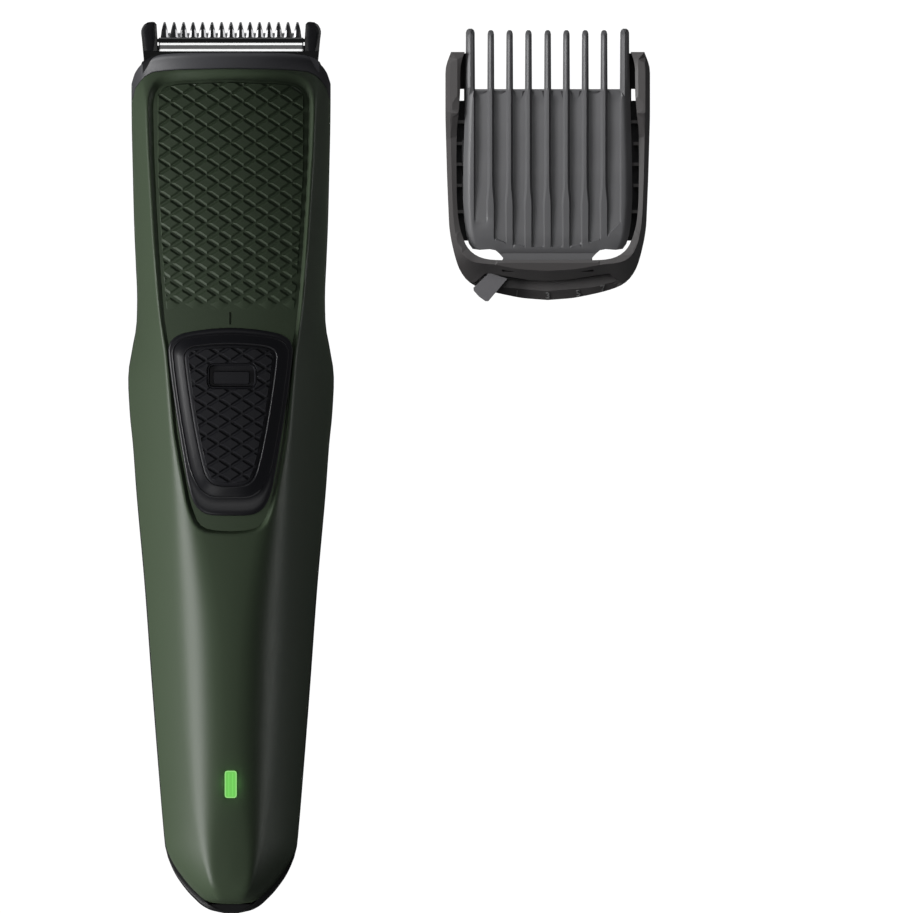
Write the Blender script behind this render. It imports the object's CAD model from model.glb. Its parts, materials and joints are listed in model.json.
"""Beard trimmer lying on its back, with its adjustable comb beside it on the right.

x runs across, y from the lower end (-80) to the cutting head and z from the back up to the front.
Lengths are millimetres until mesh_data() scales them. Lights, floor and camera are in metres.
"""
import json

import math

import bpy
import bmesh
import numpy as np
from mathutils import Matrix, Vector
from mathutils.geometry import delaunay_2d_cdt

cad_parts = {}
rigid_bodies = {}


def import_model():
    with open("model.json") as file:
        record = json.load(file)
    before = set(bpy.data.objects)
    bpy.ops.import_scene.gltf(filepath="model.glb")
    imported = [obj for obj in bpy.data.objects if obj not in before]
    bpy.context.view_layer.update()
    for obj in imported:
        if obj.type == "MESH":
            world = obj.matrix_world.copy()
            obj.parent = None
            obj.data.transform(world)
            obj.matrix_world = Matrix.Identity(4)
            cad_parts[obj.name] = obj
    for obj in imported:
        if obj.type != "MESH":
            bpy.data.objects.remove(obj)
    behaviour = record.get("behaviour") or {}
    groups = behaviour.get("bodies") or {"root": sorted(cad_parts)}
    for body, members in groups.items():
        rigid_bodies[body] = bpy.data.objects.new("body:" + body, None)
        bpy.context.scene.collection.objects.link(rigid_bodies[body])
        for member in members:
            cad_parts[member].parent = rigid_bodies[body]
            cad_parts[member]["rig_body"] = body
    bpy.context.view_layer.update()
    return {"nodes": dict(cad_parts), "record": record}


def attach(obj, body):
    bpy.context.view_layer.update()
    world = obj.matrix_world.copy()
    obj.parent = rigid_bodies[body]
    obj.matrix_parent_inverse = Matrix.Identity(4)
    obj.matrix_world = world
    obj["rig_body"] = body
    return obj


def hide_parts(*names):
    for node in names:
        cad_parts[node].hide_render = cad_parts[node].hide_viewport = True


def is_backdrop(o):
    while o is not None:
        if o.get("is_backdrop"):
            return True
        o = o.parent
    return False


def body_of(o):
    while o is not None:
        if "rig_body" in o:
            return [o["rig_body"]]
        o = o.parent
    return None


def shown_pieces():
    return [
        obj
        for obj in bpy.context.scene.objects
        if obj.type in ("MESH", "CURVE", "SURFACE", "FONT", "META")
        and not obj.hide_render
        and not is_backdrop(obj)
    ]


for old in list(bpy.data.objects):
    bpy.data.objects.remove(old)
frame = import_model()
NODES = frame["nodes"]
SCENE = bpy.context.scene
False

# ------------------------------------------------------------------ body tables
MM = 0.001
PARTING_Z = 12.0  # where the front and rear shells meet
WALL = 1.6
FACET = 13.0  # unrolled width of the side facet, from the crease to the parting
CROWN = 180  # the front falls by x * x / CROWN across
RECESS = 1.0  # depth of the grip panel below the front
RECESS_WALL = 1.15  # depth of the wall around it
REAR_END = 66.0  # where the rear shell meets the collar

# y, half width at the parting
HALF_WIDTH = [
    (-80, 1.2), (-79.37, 3.85), (-77.23, 6.71), (-75.08, 8.59), (-72.93, 10.02), (-70.78, 11.01),
    (-68.63, 11.72), (-64.34, 12.17), (-55.75, 12.89), (-38.56, 14.23), (-21.38, 15.48),
    (-4.19, 17.0), (4.4, 17.63), (8.69, 18.08), (12.99, 18.35), (15.14, 18.44), (17.29, 18.35),
    (19.43, 17.99), (21.58, 17.63), (23.73, 17.18), (25.88, 16.92), (30.17, 16.83),
    (36.62, 17.09), (43.06, 17.36), (53.8, 17.63), (62.39, 17.81), (69.4, 17.85), (76, 17.85),
]
# the same for the front shell, which is rounder at its lower end and slightly narrower above
FRONT_HALF_WIDTH = [
    (-78.35, 1.07), (-78.01, 3.69), (-76.51, 6.0), (-74.13, 8.2), (-71.8, 9.9), (-70.24, 10.81),
    (-68.4, 11.6), (-64.34, 12.1),
] + [(y, w - 0.07) for y, w in HALF_WIDTH if y > -60]
# y, half width of the crowned top up to its creases
CREASE = [
    (-80, 0.5), (-78.35, 0.75), (-77.58, 1.8), (-74, 3.6), (-68.63, 4.35), (-50.73, 5.25),
    (-32.83, 6.25), (-16.72, 7.7), (-5.8, 8.9), (6.19, 10.5), (20.87, 11.85), (25.16, 12.55),
    (30.53, 13.15), (38.41, 13.8), (46.28, 14.3), (56.67, 14.9), (65.8, 15.2), (76, 15.2),
]
# y, height of the front on the centre line
TOP_Z = [
    (-80, 12.0), (-78.35, 12.2), (-78.2, 13.8), (-77.9, 15.6), (-77.4, 17.3), (-76.6, 18.7),
    (-75.2, 20.1), (-73, 21.05), (-70, 21.8), (-66, 22.55), (-60, 23.4), (-40, 25.5),
    (-20, 27.4), (0, 28.9), (15, 29.5), (30, 28.7), (45, 26.7), (60, 24.1), (70, 22.1), (76, 20.8),
]
# y, height of the back
BACK_Z = [
    (-80, 7), (-79.37, 4.8), (-77.23, 2.4), (-75.08, 1.1), (-72.93, 0.35), (-70.78, 0), (38, 0),
    (45, 0.5), (53.8, 1.5), (60, 2.3), (66, 3.1), (76, 4.4),
]
# y, how far the crease is rounded to either side
CREASE_ROUND = [
    (-80, 0.5), (-77, 1.2), (-74, 0.9), (-68, 1.5), (-60, 3.0), (-45, 4.2), (-30, 4.4),
    (-16, 3.6), (-5, 2.2), (6, 0.8), (20, 0.42), (62, 0.42), (66, 0.8), (70, 2.6), (76, 3.2),
]
# distance from the centre line, y of the seam between front shell and collar
SEAM = [
    (0, 71.17), (8.45, 71.0), (11.89, 70.8), (13.96, 70.54), (15.3, 69.86), (16.11, 69.05),
    (17.13, 67.69), (17.58, 65.8),
]
# distance from the centre line, y of the collar's mouth
MOUTH = [
    (0, 74.03), (7.34, 73.98), (12.35, 73.76), (14.5, 73.22), (16.11, 72.24), (17.18, 70.99),
    (17.9, 69.0),
]
# left half of the grip recess, bottom to top: rim x, rim y, floor x, floor y
RECESS_HALF = [
    (0, -12.07, 0, -11.6), (-3.0, -11.98, -2.95, -11.5), (-4.9, -11.75, -4.6, -11.25),
    (-5.91, -11.2, -5.45, -10.8), (-7.09, -9.3, -6.4, -8.9), (-8.27, -5.0, -7.6, -5.0),
    (-10.16, 6.08, -9.6, 6.08), (-11.48, 20.87, -10.9, 20.87), (-12.3, 25.16, -11.7, 25.16),
    (-12.83, 30.41, -12.2, 30.41), (-13.43, 38.28, -12.78, 38.28), (-13.96, 46.16, -13.25, 46.16),
    (-14.5, 56.67, -13.75, 56.67), (-14.79, 65.8, -13.95, 65.2), (-14.68, 67.46, -13.75, 66.9),
    (-14.16, 68.84, -13.1, 68.0), (-13.01, 69.63, -12.0, 68.5), (-11.89, 70.09, -11.0, 68.75),
    (-9.59, 70.49, -9.2, 69.0), (0, 70.72, 0, 69.25),
]


# ------------------------------------------------------------------ curves
def hermite(start, end, start_tangent, end_tangent, t):
    return (start * (1 + 2 * t) * (1 - t) ** 2 + start_tangent * t * (1 - t) ** 2
            + end * t * t * (3 - 2 * t) + end_tangent * t * t * (t - 1))


def smooth_curve(table):
    """A monotone cubic through the table's rows, held constant beyond its ends."""
    x, y = np.array(table, float).T
    step = np.diff(x)
    slope = np.diff(y) / step
    tangent = np.zeros(len(x))
    for i in range(1, len(x) - 1):
        if slope[i - 1] * slope[i] > 0:
            before, after = 2 * step[i] + step[i - 1], step[i] + 2 * step[i - 1]
            tangent[i] = (before + after) / (before / slope[i - 1] + after / slope[i])
    tangent[0], tangent[-1] = slope[0], slope[-1]

    def curve(at):
        at = np.clip(np.asarray(at, float), x[0], x[-1])
        i = np.clip(np.searchsorted(x, at, side="right") - 1, 0, len(x) - 2)
        t = (at - x[i]) / step[i]
        return hermite(y[i], y[i + 1], step[i] * tangent[i], step[i] * tangent[i + 1], t)

    return curve


def ease(low, high, x):
    t = np.clip((x - low) / (high - low), 0, 1)
    return t * t * (3 - 2 * t)


half_width, front_half_width, crease, top_z, back_z, crease_round, mouth = map(
    smooth_curve, (HALF_WIDTH, FRONT_HALF_WIDTH, CREASE, TOP_Z, BACK_Z, CREASE_ROUND, MOUTH))


def seam_y(x):
    return np.interp(np.abs(x), *zip(*SEAM))


def mouth_y(x):
    return mouth(np.abs(x))


# ------------------------------------------------------------------ body surfaces
def droop(x, y):
    """The front gets rounder across towards the head and towards the lower end."""
    y = np.asarray(y, float)
    return np.asarray(x) ** 2 * (0.0125 * ease(64.5, 72.5, y) + 0.0098 * (1 - ease(-34, -8, y)))


def crown(x, y):
    """Height of the crowned front."""
    return top_z(y) - np.asarray(x) ** 2 / CROWN - droop(x, y)


def sharp_section(s, y, depth, wide):
    """x and z of the front before its creases are rounded."""
    width = (half_width if wide else front_half_width)(y) - depth
    edge = np.maximum(np.minimum(crease(y), 0.94 * width), 0.05)
    across, top = np.abs(s), top_z(y) - depth
    u = (across - crease(y)) / FACET
    edge_z = top - edge * edge / CROWN - droop(edge, y)
    bulge = 2.88 * u * (1 - u) * np.clip(width / 12, 0, 1)
    on_top = across <= crease(y)
    top_x = across * edge / crease(y)
    x = np.where(on_top, top_x, edge + (width - edge) * u + 0.75 * bulge)
    z = np.where(on_top, top - top_x * top_x / CROWN - droop(top_x, y),
                 edge_z + (PARTING_Z - edge_z) * u + 0.5 * bulge)
    return np.sign(s) * x, z


def front_point(s, y, depth=0.0, wide=False):
    """The front in its unrolled domain: s across, y along. The collar has the wide section."""
    s, y = np.broadcast_arrays(np.asarray(s, float), np.asarray(y, float))
    radius = crease_round(y)
    x_mean, z_mean, samples = 0, 0, 11
    for k in range(samples):
        x, z = sharp_section(s + radius * (2 * (k + 0.5) / samples - 1), y, depth, wide)
        x_mean, z_mean = x_mean + x / samples, z_mean + z / samples
    return np.stack([x_mean, y, z_mean], -1)


def front_normal(s, y):
    step = 0.06
    across = front_point(s + step, y) - front_point(s - step, y)
    along = front_point(s, y + step) - front_point(s, y - step)
    normal = np.cross(across, along)
    return normal / np.maximum(np.linalg.norm(normal, axis=-1, keepdims=True), 1e-9)


def unrolled(x, y):
    """The s at which the front shell reaches x, by bisection."""
    low, high = np.zeros_like(x), np.full_like(x, 40.0)
    for _ in range(40):
        middle = (low + high) / 2
        beyond = front_point(middle, y)[..., 0] > np.abs(x)
        high, low = np.where(beyond, middle, high), np.where(beyond, low, middle)
    return np.sign(x) * low


def rear_point(t, y, depth=0.0):
    """The rear section, flat for |t| < 0.5 and rounded up to the parting at |t| = 1."""
    width = half_width(y) - depth
    back = back_z(y) + depth
    flat = 0.5 * width
    a = np.abs(t)
    turn = np.clip((a - 0.5) / 0.5, 0, 1) * math.pi / 2
    x = np.where(a < 0.5, 2 * a * flat, flat + (width - flat) * np.sin(turn) ** 0.8)
    z = np.where(a < 0.5, back, PARTING_Z - (PARTING_Z - back) * np.cos(turn) ** 0.8)
    return np.stack([np.sign(t) * x, y + 0 * x, z], -1)


def inner_y(y):
    """The y of the inner surface, moved inward at the lower end for the end wall."""
    return y + WALL * (1 - ease(-78, -66, y))


# ------------------------------------------------------------------ plane outlines
def inside(outline, points):
    outline, points = np.asarray(outline, float)[:, :2], np.asarray(points, float)
    result = np.zeros(len(points), bool)
    x, y = points[:, 0], points[:, 1]
    for (x1, y1), (x2, y2) in zip(outline, np.roll(outline, -1, 0)):
        if y1 != y2:
            result ^= ((y1 > y) != (y2 > y)) & (x < (x2 - x1) * (y - y1) / (y2 - y1) + x1)
    return result


def distance(outline, points, closed=True):
    outline, points = np.asarray(outline, float)[:, :2], np.asarray(points, float)[:, :2]
    starts = outline if closed else outline[:-1]
    ends = np.roll(outline, -1, 0) if closed else outline[1:]
    best = np.full(len(points), 1e9)
    for start, end in zip(starts, ends):
        d = end - start
        t = np.clip(((points - start) @ d) / max(d @ d, 1e-12), 0, 1)
        best = np.minimum(best, np.linalg.norm(points - start - t[:, None] * d, axis=1))
    return best


def clear_of(outline, points, gap):
    return ~(inside(outline, points) | (distance(outline, points) < gap))


def resample(outline, step, closed=True):
    """Adds even points so that no side is longer than step."""
    outline = np.asarray(outline, float)
    ends = np.vstack([outline, outline[:1]]) if closed else outline
    result = []
    for p, q in zip(ends[:-1], ends[1:]):
        n = max(1, int(math.ceil(np.linalg.norm(q - p) / step)))
        result += [p + (q - p) * k / n for k in range(n)]
    if not closed:
        result.append(ends[-1])
    return np.array(result)


def inset(outline, gap):
    """Moves a counterclockwise outline inward by gap."""
    outline = np.asarray(outline, float)[:, :2]
    side = np.roll(outline, -1, 0) - outline
    side /= np.maximum(np.linalg.norm(side, axis=1, keepdims=True), 1e-9)
    normal = np.stack([-side[:, 1], side[:, 0]], 1)
    both = normal + np.roll(normal, 1, 0)
    miter = 2 / np.maximum((both * both).sum(1, keepdims=True), 0.35)
    return outline + both * miter * gap


def ccw(outline):
    """The outline in counterclockwise order."""
    outline = np.asarray(outline, float)
    after = np.roll(outline, -1, 0)
    doubled_area = (outline[:, 0] * after[:, 1] - after[:, 0] * outline[:, 1]).sum()
    return outline if doubled_area > 0 else outline[::-1]


def mirrored(half, first=0, last=None):
    """A half outline, followed by the mirror image of half[first:last] run backwards."""
    return np.vstack([half, (half[first:last] * [-1, 1])[::-1]])


def soften(half, times=2):
    """Rounds a half outline's small corners and keeps its ends."""
    for _ in range(times):
        inner = 0.25 * half[:-2] + 0.5 * half[1:-1] + 0.25 * half[2:]
        half = np.vstack([half[:1], inner, half[-1:]])
    return half


def dense(half, step=1.1):
    """Adds even rows, counted by the distance in the first two columns."""
    rows = []
    for start, end in zip(half[:-1], half[1:]):
        n = max(1, int(np.linalg.norm((end - start)[:2]) / step))
        rows += [start * (1 - k / n) + end * (k / n) for k in range(n)]
    return np.array(rows + [half[-1]])


def spline(half, steps=5):
    """Centripetal Catmull-Rom through a half outline, mirrored at both ends."""
    points = np.array(half, float)
    extended = np.vstack([points[1] * [-1, 1], points, points[-2] * [-1, 1]])
    result = []
    for i in range(1, len(extended) - 2):
        p0, p1, p2, p3 = extended[i - 1 : i + 3]
        k0, k1, k2 = (max(np.linalg.norm(b - a), 1e-6) ** 0.5
                      for a, b in ((p0, p1), (p1, p2), (p2, p3)))
        m1 = (p2 - p1) + k1 * ((p1 - p0) / k0 - (p2 - p0) / (k0 + k1))
        m2 = (p2 - p1) + k1 * ((p3 - p2) / k2 - (p3 - p1) / (k1 + k2))
        result += [hermite(p1, p2, m1, m2, j / steps) for j in range(steps)]
    return np.array(result + [points[-1]])


def with_depth(ring, depth):
    return np.c_[ring, np.full(len(ring), depth)]


def rounded(outline, radius, steps=3):
    """Inset rings with depths that round the upper edge over."""
    rings = []
    for k in range(steps + 1):
        a = math.pi / 2 * k / steps
        ring = inset(outline, radius * (1 - math.cos(a)))
        rings.append(with_depth(ring, radius * (1 - math.sin(a))))
    return rings


def rectangle(x0, x1, y0, y1):
    return np.array([(x0, y0), (x1, y0), (x1, y1), (x0, y1)], float)


def circle(x, y, radius, count):
    angles = np.arange(count) * 2 * math.pi / count
    return [(x + radius * math.cos(a), y + radius * math.sin(a)) for a in angles]


def grid_points(xs, ys):
    return np.array([(x, y) for y in ys for x in xs])


def column(x, ys):
    return [(x, y) for y in ys]


def row(xs, y):
    return [(x, y) for x in xs]


def runs(points, keep, singles=None):
    """Splits a line into its kept stretches. Lone kept points go to singles, if given."""
    points = np.asarray(points, float)
    found, run = [], []
    for point, kept in [*zip(points, keep(points)), (None, False)]:
        if kept:
            run.append(point)
            continue
        if len(run) > 1:
            found.append(run)
        elif run and singles is not None:
            singles.append(run[0])
        run = []
    return found


# ------------------------------------------------------------------ solids, as (vertices, faces)
def lift(surface, x, y, depth):
    """A surface is a height or a function of x, y and depth that gives heights or points."""
    z = surface(x, y, depth) if callable(surface) else surface
    return z if np.ndim(z) == 2 else np.stack([x, y, z + 0 * x], -1)


def slab(outline, top, bottom, holes=(), loops=(), lines=(), points=()):
    """Triangulates a plane region and lifts it to a closed solid between top and bottom.

    Rows of the outline, holes, loops and lines may carry a third value, the depth.
    """
    rows, edges = [], []

    def add(part, closed):
        part = np.asarray(part, float)
        if len(part) == 0:
            return
        if part.shape[1] == 2:
            part = with_depth(part, 0.0)
        first, count = len(rows), len(part)
        rows.extend(part.tolist())
        if closed is not None:
            edges.extend((first + i, first + i + 1) for i in range(count - 1))
            if closed:
                edges.append((first + count - 1, first))

    for ring in (outline, *holes, *loops):
        add(ring, True)
    for line in lines:
        add(line, False)
    add(points, None)
    verts, _, faces, sources, _, _ = delaunay_2d_cdt(
        [Vector(p[:2]) for p in rows], edges, [], 0, 1e-5, True)
    flat = np.array([tuple(v) for v in verts])
    depth = np.array([rows[s[0]][2] if len(s) else 0.0 for s in sources])
    triangles = np.array([list(f) for f in faces if len(f) == 3])
    centres = flat[triangles].mean(1)
    keep = inside(outline, centres)
    for hole in holes:
        keep &= ~inside(hole, centres)
    triangles = triangles[keep]
    a, b, c = flat[triangles].transpose(1, 0, 2)
    area = (b - a)[:, 0] * (c - a)[:, 1] - (c - a)[:, 0] * (b - a)[:, 1]
    real = np.abs(area) > 1e-9
    triangles, area = triangles[real], area[real]
    triangles[area < 0] = triangles[area < 0][:, ::-1]
    used = np.unique(triangles)
    renumber = -np.ones(len(flat), int)
    renumber[used] = np.arange(len(used))
    triangles, flat, depth = renumber[triangles], flat[used], depth[used]
    n = len(flat)
    x, y = flat.T
    sides = {(t[i], t[(i + 1) % 3]) for t in triangles.tolist() for i in range(3)}
    faces = triangles.tolist() + (triangles[:, ::-1] + n).tolist()
    faces += [[j, i, i + n, j + n] for i, j in sides if (j, i) not in sides]
    return np.vstack([lift(top, x, y, depth), lift(bottom, x, y, depth)]), faces


def box(x0, x1, y0, y1, z0, z1):
    verts = [(x, y, z) for z in (z0, z1) for y in (y0, y1) for x in (x0, x1)]
    return verts, [(0, 2, 3, 1), (4, 5, 7, 6), (0, 1, 5, 4), (2, 6, 7, 3), (0, 4, 6, 2),
                   (1, 3, 7, 5)]


def side_box(side, x0, x1, *rest):
    """A box given on the right (side 1), or its mirror image (side -1)."""
    return box(*sorted((side * x0, side * x1)), *rest)


def cylinder(x, y, radius, z0, z1, count=32):
    return loft([[(*p, z) for p in circle(x, y, radius, count)] for z in (z0, z1)])


def loft(rings, wrap=False):
    """Joins rings with equal counts. The ends are capped, or joined to each other with wrap."""
    n, m, faces = len(rings[0]), len(rings), []
    for k in range(m if wrap else m - 1):
        a, b = k * n, ((k + 1) % m) * n
        for i in range(n):
            j = (i + 1) % n
            faces.append([a + i, a + j, b + j, b + i])
    if not wrap:
        faces.append(list(range(n))[::-1])
        faces.append([(m - 1) * n + i for i in range(n)])
    return np.vstack(rings), faces


def join(parts):
    verts, faces = [], []
    for part_verts, part_faces in parts:
        n = len(verts)
        verts.extend(tuple(p) for p in part_verts)
        faces.extend([i + n for i in face] for face in part_faces)
    return verts, faces


# ------------------------------------------------------------------ objects
def mesh_data(name, solid):
    verts, faces = solid
    data = bpy.data.meshes.new(name)
    data.from_pydata((np.asarray(verts, float) * MM).tolist(), [],
                     [list(map(int, f)) for f in faces])
    return data


def add_object(name, data):
    obj = bpy.data.objects.new(name, data)
    SCENE.collection.objects.link(obj)
    return obj


def evaluated_mesh(obj):
    bpy.context.view_layer.update()
    evaluated = obj.evaluated_get(bpy.context.evaluated_depsgraph_get())
    return bpy.data.meshes.new_from_object(evaluated)


def dress(obj, body, material):
    obj.data.materials.clear()
    obj.data.materials.append(MATERIALS[material])
    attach(obj, body)


def make(name, solid, body, material, smooth=True, angle=32, cuts=()):
    """Adds a piece. One named x_skin replaces the CAD piece x. The slot is the material's name
    unless given, and edges sharper than angle (degrees) stay sharp."""
    data = mesh_data(name, solid)
    data.validate()
    obj = add_object(name, data)
    tools = [add_object("cut", mesh_data("cut", cut)) for cut in cuts]
    for tool in tools:
        boolean = obj.modifiers.new("b", "BOOLEAN")
        boolean.operation, boolean.solver, boolean.object = "DIFFERENCE", "EXACT", tool
    if tools:
        cut_mesh = evaluated_mesh(obj)
        obj.modifiers.clear()
        obj.data = cut_mesh
    for tool in tools:
        bpy.data.objects.remove(tool)
    if smooth:
        obj.data.shade_smooth()
        obj.data.set_sharp_from_angle(angle=math.radians(angle))
    dress(obj, body, material)
    if name.endswith("_skin"):
        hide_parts(name.removesuffix("_skin"))
    return obj


def fix_normals(obj):
    bm = bmesh.new()
    bm.from_mesh(obj.data)
    bmesh.ops.recalc_face_normals(bm, faces=bm.faces[:])
    bm.to_mesh(obj.data)
    bm.free()


# ------------------------------------------------------------------ materials
def linear(*srgb):
    """0-255 sRGB values as a linear colour."""
    return tuple(c / 255 / 12.92 if c <= 10.3 else ((c / 255 + 0.055) / 1.055) ** 2.4
                 for c in srgb)


def add_node(tree, kind, **inputs):
    """Adds a shader node and sets its inputs; an underscore stands for a space."""
    node = tree.nodes.new(kind)
    for name, value in inputs.items():
        node.inputs[name.replace("_", " ")].default_value = value
    return node


def material(name, color, rough=0.45, metal=0.0, bump=0.0, scale=900.0, vary=0.06,
             rough_vary=0.06, spec=0.5, coat=0.0, glow=None, stretch=(1, 1, 1)):
    """A broad noise varies the colour by vary. A fine one, of the given scale and stretch,
    varies the roughness by rough_vary and drives the bump."""
    mat = bpy.data.materials.new(name)
    mat.use_nodes = True
    mat.diffuse_color = (*color, 1)
    tree = mat.node_tree
    link = tree.links.new
    surface = tree.nodes["Principled BSDF"]
    coords = add_node(tree, "ShaderNodeTexCoord")
    mapping = add_node(tree, "ShaderNodeMapping", Scale=stretch)
    fine = add_node(tree, "ShaderNodeTexNoise", Scale=scale, Detail=3)
    broad = add_node(tree, "ShaderNodeTexNoise", Scale=60, Detail=4)
    link(coords.outputs["Object"], mapping.inputs["Vector"])
    link(mapping.outputs[0], fine.inputs["Vector"])
    link(mapping.outputs[0], broad.inputs["Vector"])
    mix = add_node(tree, "ShaderNodeMix")
    mix.data_type = "RGBA"
    # inputs 6 and 7 are the two colours, output 2 the mixed one
    mix.inputs[6].default_value = (*[c * (1 - vary) for c in color], 1)
    mix.inputs[7].default_value = (*[min(1, c * (1 + vary)) for c in color], 1)
    link(broad.outputs["Fac"], mix.inputs[0])
    link(mix.outputs[2], surface.inputs["Base Color"])
    roughness = add_node(tree, "ShaderNodeMapRange", To_Min=max(0.02, rough - rough_vary),
                         To_Max=min(1, rough + rough_vary))
    link(fine.outputs["Fac"], roughness.inputs["Value"])
    link(roughness.outputs[0], surface.inputs["Roughness"])
    surface.inputs["Metallic"].default_value = metal
    surface.inputs["Specular IOR Level"].default_value = spec
    if coat:
        surface.inputs["Coat Weight"].default_value = coat
        surface.inputs["Coat Roughness"].default_value = 0.12
    if bump:
        relief = add_node(tree, "ShaderNodeBump", Strength=bump, Distance=0.00005)
        link(fine.outputs["Fac"], relief.inputs["Height"])
        link(relief.outputs[0], surface.inputs["Normal"])
    if glow:
        surface.inputs["Emission Color"].default_value = (*glow, 1)
        surface.inputs["Emission Strength"].default_value = 1.0
    return mat


LOOKS = dict(
    green_body=dict(color=(0.062, 0.088, 0.052), rough=0.4, bump=0.12, scale=2600, vary=0.04,
                    rough_vary=0.05, spec=0.42),
    green_panel=dict(color=(0.060, 0.086, 0.050), rough=0.5, bump=0.25, scale=2600, vary=0.05,
                     spec=0.4),
    black_body=dict(color=(0.012, 0.012, 0.013), rough=0.4, bump=0.15, scale=2400, spec=0.45),
    collar_grey=dict(color=(0.088, 0.088, 0.096), rough=0.4, bump=0.1, scale=2600, spec=0.4),
    switch_black=dict(color=(0.014, 0.014, 0.017), rough=0.32, bump=0.06, scale=2600, spec=0.45),
    switch_pad_black=dict(color=(0.024, 0.024, 0.029), rough=0.48, bump=0.3, scale=2400,
                          spec=0.4),
    inner_plastic=dict(color=(0.45, 0.44, 0.4), rough=0.5, bump=0.1),
    foam=dict(color=(0.02, 0.02, 0.02), rough=0.9, bump=0.8, scale=1500),
    pcb_green=dict(color=(0.015, 0.11, 0.035), rough=0.35, bump=0.1, coat=0.3),
    steel=dict(color=(0.55, 0.56, 0.57), rough=0.24, metal=1.0, bump=0.1, scale=700,
               stretch=(1, 14, 14), rough_vary=0.08),
    digit_grey=dict(color=(0.22, 0.22, 0.22), rough=0.5, bump=0.05),
    shade_black=dict(color=(0.008, 0.008, 0.009), rough=0.7, bump=0.05, scale=700),
    tooth_steel=dict(color=(0.42, 0.42, 0.43), rough=0.16, metal=1.0, bump=0.05,
                     rough_vary=0.05),
    plated_steel=dict(color=(0.66, 0.66, 0.66), rough=0.2, metal=1.0, bump=0.04,
                      rough_vary=0.05),
    led_rim=dict(color=(0.02, 0.06, 0.02), rough=0.4, glow=linear(152, 224, 130)),
    led_green=dict(color=(0.02, 0.06, 0.02), rough=0.4, glow=linear(116, 205, 94)),
    led_chip=dict(color=(0.8, 0.9, 0.7), rough=0.25),
    cell_blue=dict(color=(0.04, 0.16, 0.36), rough=0.35, bump=0.05, coat=0.2),
    wire_red=dict(color=(0.45, 0.02, 0.02)),
    wire_black=dict(color=(0.02, 0.02, 0.02)),
    head_black=dict(color=(0.008, 0.008, 0.009), rough=0.24, bump=0.05, scale=2000),
    driver_white=dict(color=(0.7, 0.69, 0.64), rough=0.5),
    comb_frame_grey=dict(color=(0.089, 0.084, 0.084), rough=0.42, bump=0.12, scale=2600,
                         spec=0.42),
    comb_plate_grey=dict(color=(0.135, 0.135, 0.14), rough=0.4, bump=0.1, scale=2600, spec=0.45),
    lever_grey=dict(color=(0.135, 0.132, 0.14), rough=0.4, bump=0.12, scale=2600, spec=0.42),
)
MATERIALS = {name: material(name, **look) for name, look in LOOKS.items()}

# ------------------------------------------------------------------ front shell
recess = soften(dense(np.array(RECESS_HALF, float)))
RIM, FLOOR = ccw(mirrored(recess[:, :2], 1, -1)), ccw(mirrored(recess[:, 2:], 1, -1))
LED_SLOT = [
    (-1.18, -59.0), (-0.85, -59.33), (0.85, -59.33), (1.18, -59.0),
    (1.18, -54.6), (0.85, -54.26), (-0.85, -54.26), (-1.18, -54.6),
]


def front_shell():
    ys = np.concatenate([np.arange(-78.35, -76.4, 0.2), np.arange(-76.4, -70, 0.5),
                         np.arange(-70, 66.0, 1.6), [65.75]])
    xs = np.concatenate([np.linspace(17.4, 13, 18), np.linspace(12.6, 0.4, 30)])
    seam = seam_y(xs)
    outline = mirrored(np.vstack([np.stack([crease(ys) + FACET, ys], 1),
                                  np.stack([unrolled(xs, seam), seam], 1)]))
    slot = resample(LED_SLOT, 0.5)
    # gap inward from the outline and depth of its softened edge
    edge = [with_depth(inset(outline, gap), depth)
            for gap, depth in ((0.0, 0.07), (0.06, 0.02), (0.18, 0.0))]
    loops = edge[1:] + [with_depth(inset(RIM, gap), depth)
                        for gap, depth in ((-0.5, 0.0), (-0.2, 0.02))]
    # the wall of the recess: share of the way from rim to floor, depth
    for t, depth in ((0.0, 0.1), (0.15, 0.28), (0.35, 0.55), (0.6, 0.86), (0.85, 1.08)):
        loops.append(with_depth(RIM * (1 - t) + FLOOR * t, depth))
    loops += [with_depth(inset(slot, gap), depth) for gap, depth in ((-0.2, 0.0), (-0.07, 0.03))]
    margin = inset(outline, 0.4)

    def keep(points):
        return (inside(margin, points) & clear_of(RIM, points, 0.75)
                & clear_of(slot, points, 0.45))

    rows = np.concatenate([np.arange(-78.0, -70, 0.4), np.arange(-70, 71, 1.5)])
    edges, radii = crease(rows), crease_round(rows)
    free, lines = [], []
    for side in (-1, 1):
        # lines along the rounded crease
        for k in (-1.5, -1.1, -0.75, -0.4, 0, 0.4, 0.75, 1.1, 1.5):
            track = np.c_[edges + radii * k, rows]
            lines += runs(track[track[:, 0] > 0.15] * [side, 1], keep, free)
        # loose points on the top and on the facet
        for y, c, r in zip(rows, edges, radii):
            inner = [c - 1.5 * r - 1.8 * k for k in range(12)]
            outer = [c + 1.5 * r + (FACET - 1.5 * r) * k for k in (0.2, 0.4, 0.6, 0.8)]
            points = np.array(row([side * s for s in inner if s > 0.6]
                                  + [side * s for s in outer], y))
            free += list(points[keep(points)])
    middle = np.array(column(0.0, rows))
    free += list(middle[keep(middle)])

    def top(s, y, depth):
        return front_point(s, y) - front_normal(s, y) * depth[:, None]

    def bottom(s, y, depth):
        y2 = inner_y(y)
        points = front_point(s * ((crease(y2) + FACET) / (crease(y) + FACET)), y2, WALL)
        points[np.abs(s) > crease(y) + FACET - 0.02, 2] = PARTING_Z
        points[:, 2] = np.maximum(points[:, 2], PARTING_Z)
        return points

    holes = [with_depth(FLOOR, RECESS_WALL), with_depth(slot, 0.14)]
    solid = slab(edge[0], top, bottom, holes=holes, loops=loops, lines=lines, points=free)
    make("front_shell_skin", solid, "handle", "green_body", angle=40)


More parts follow.
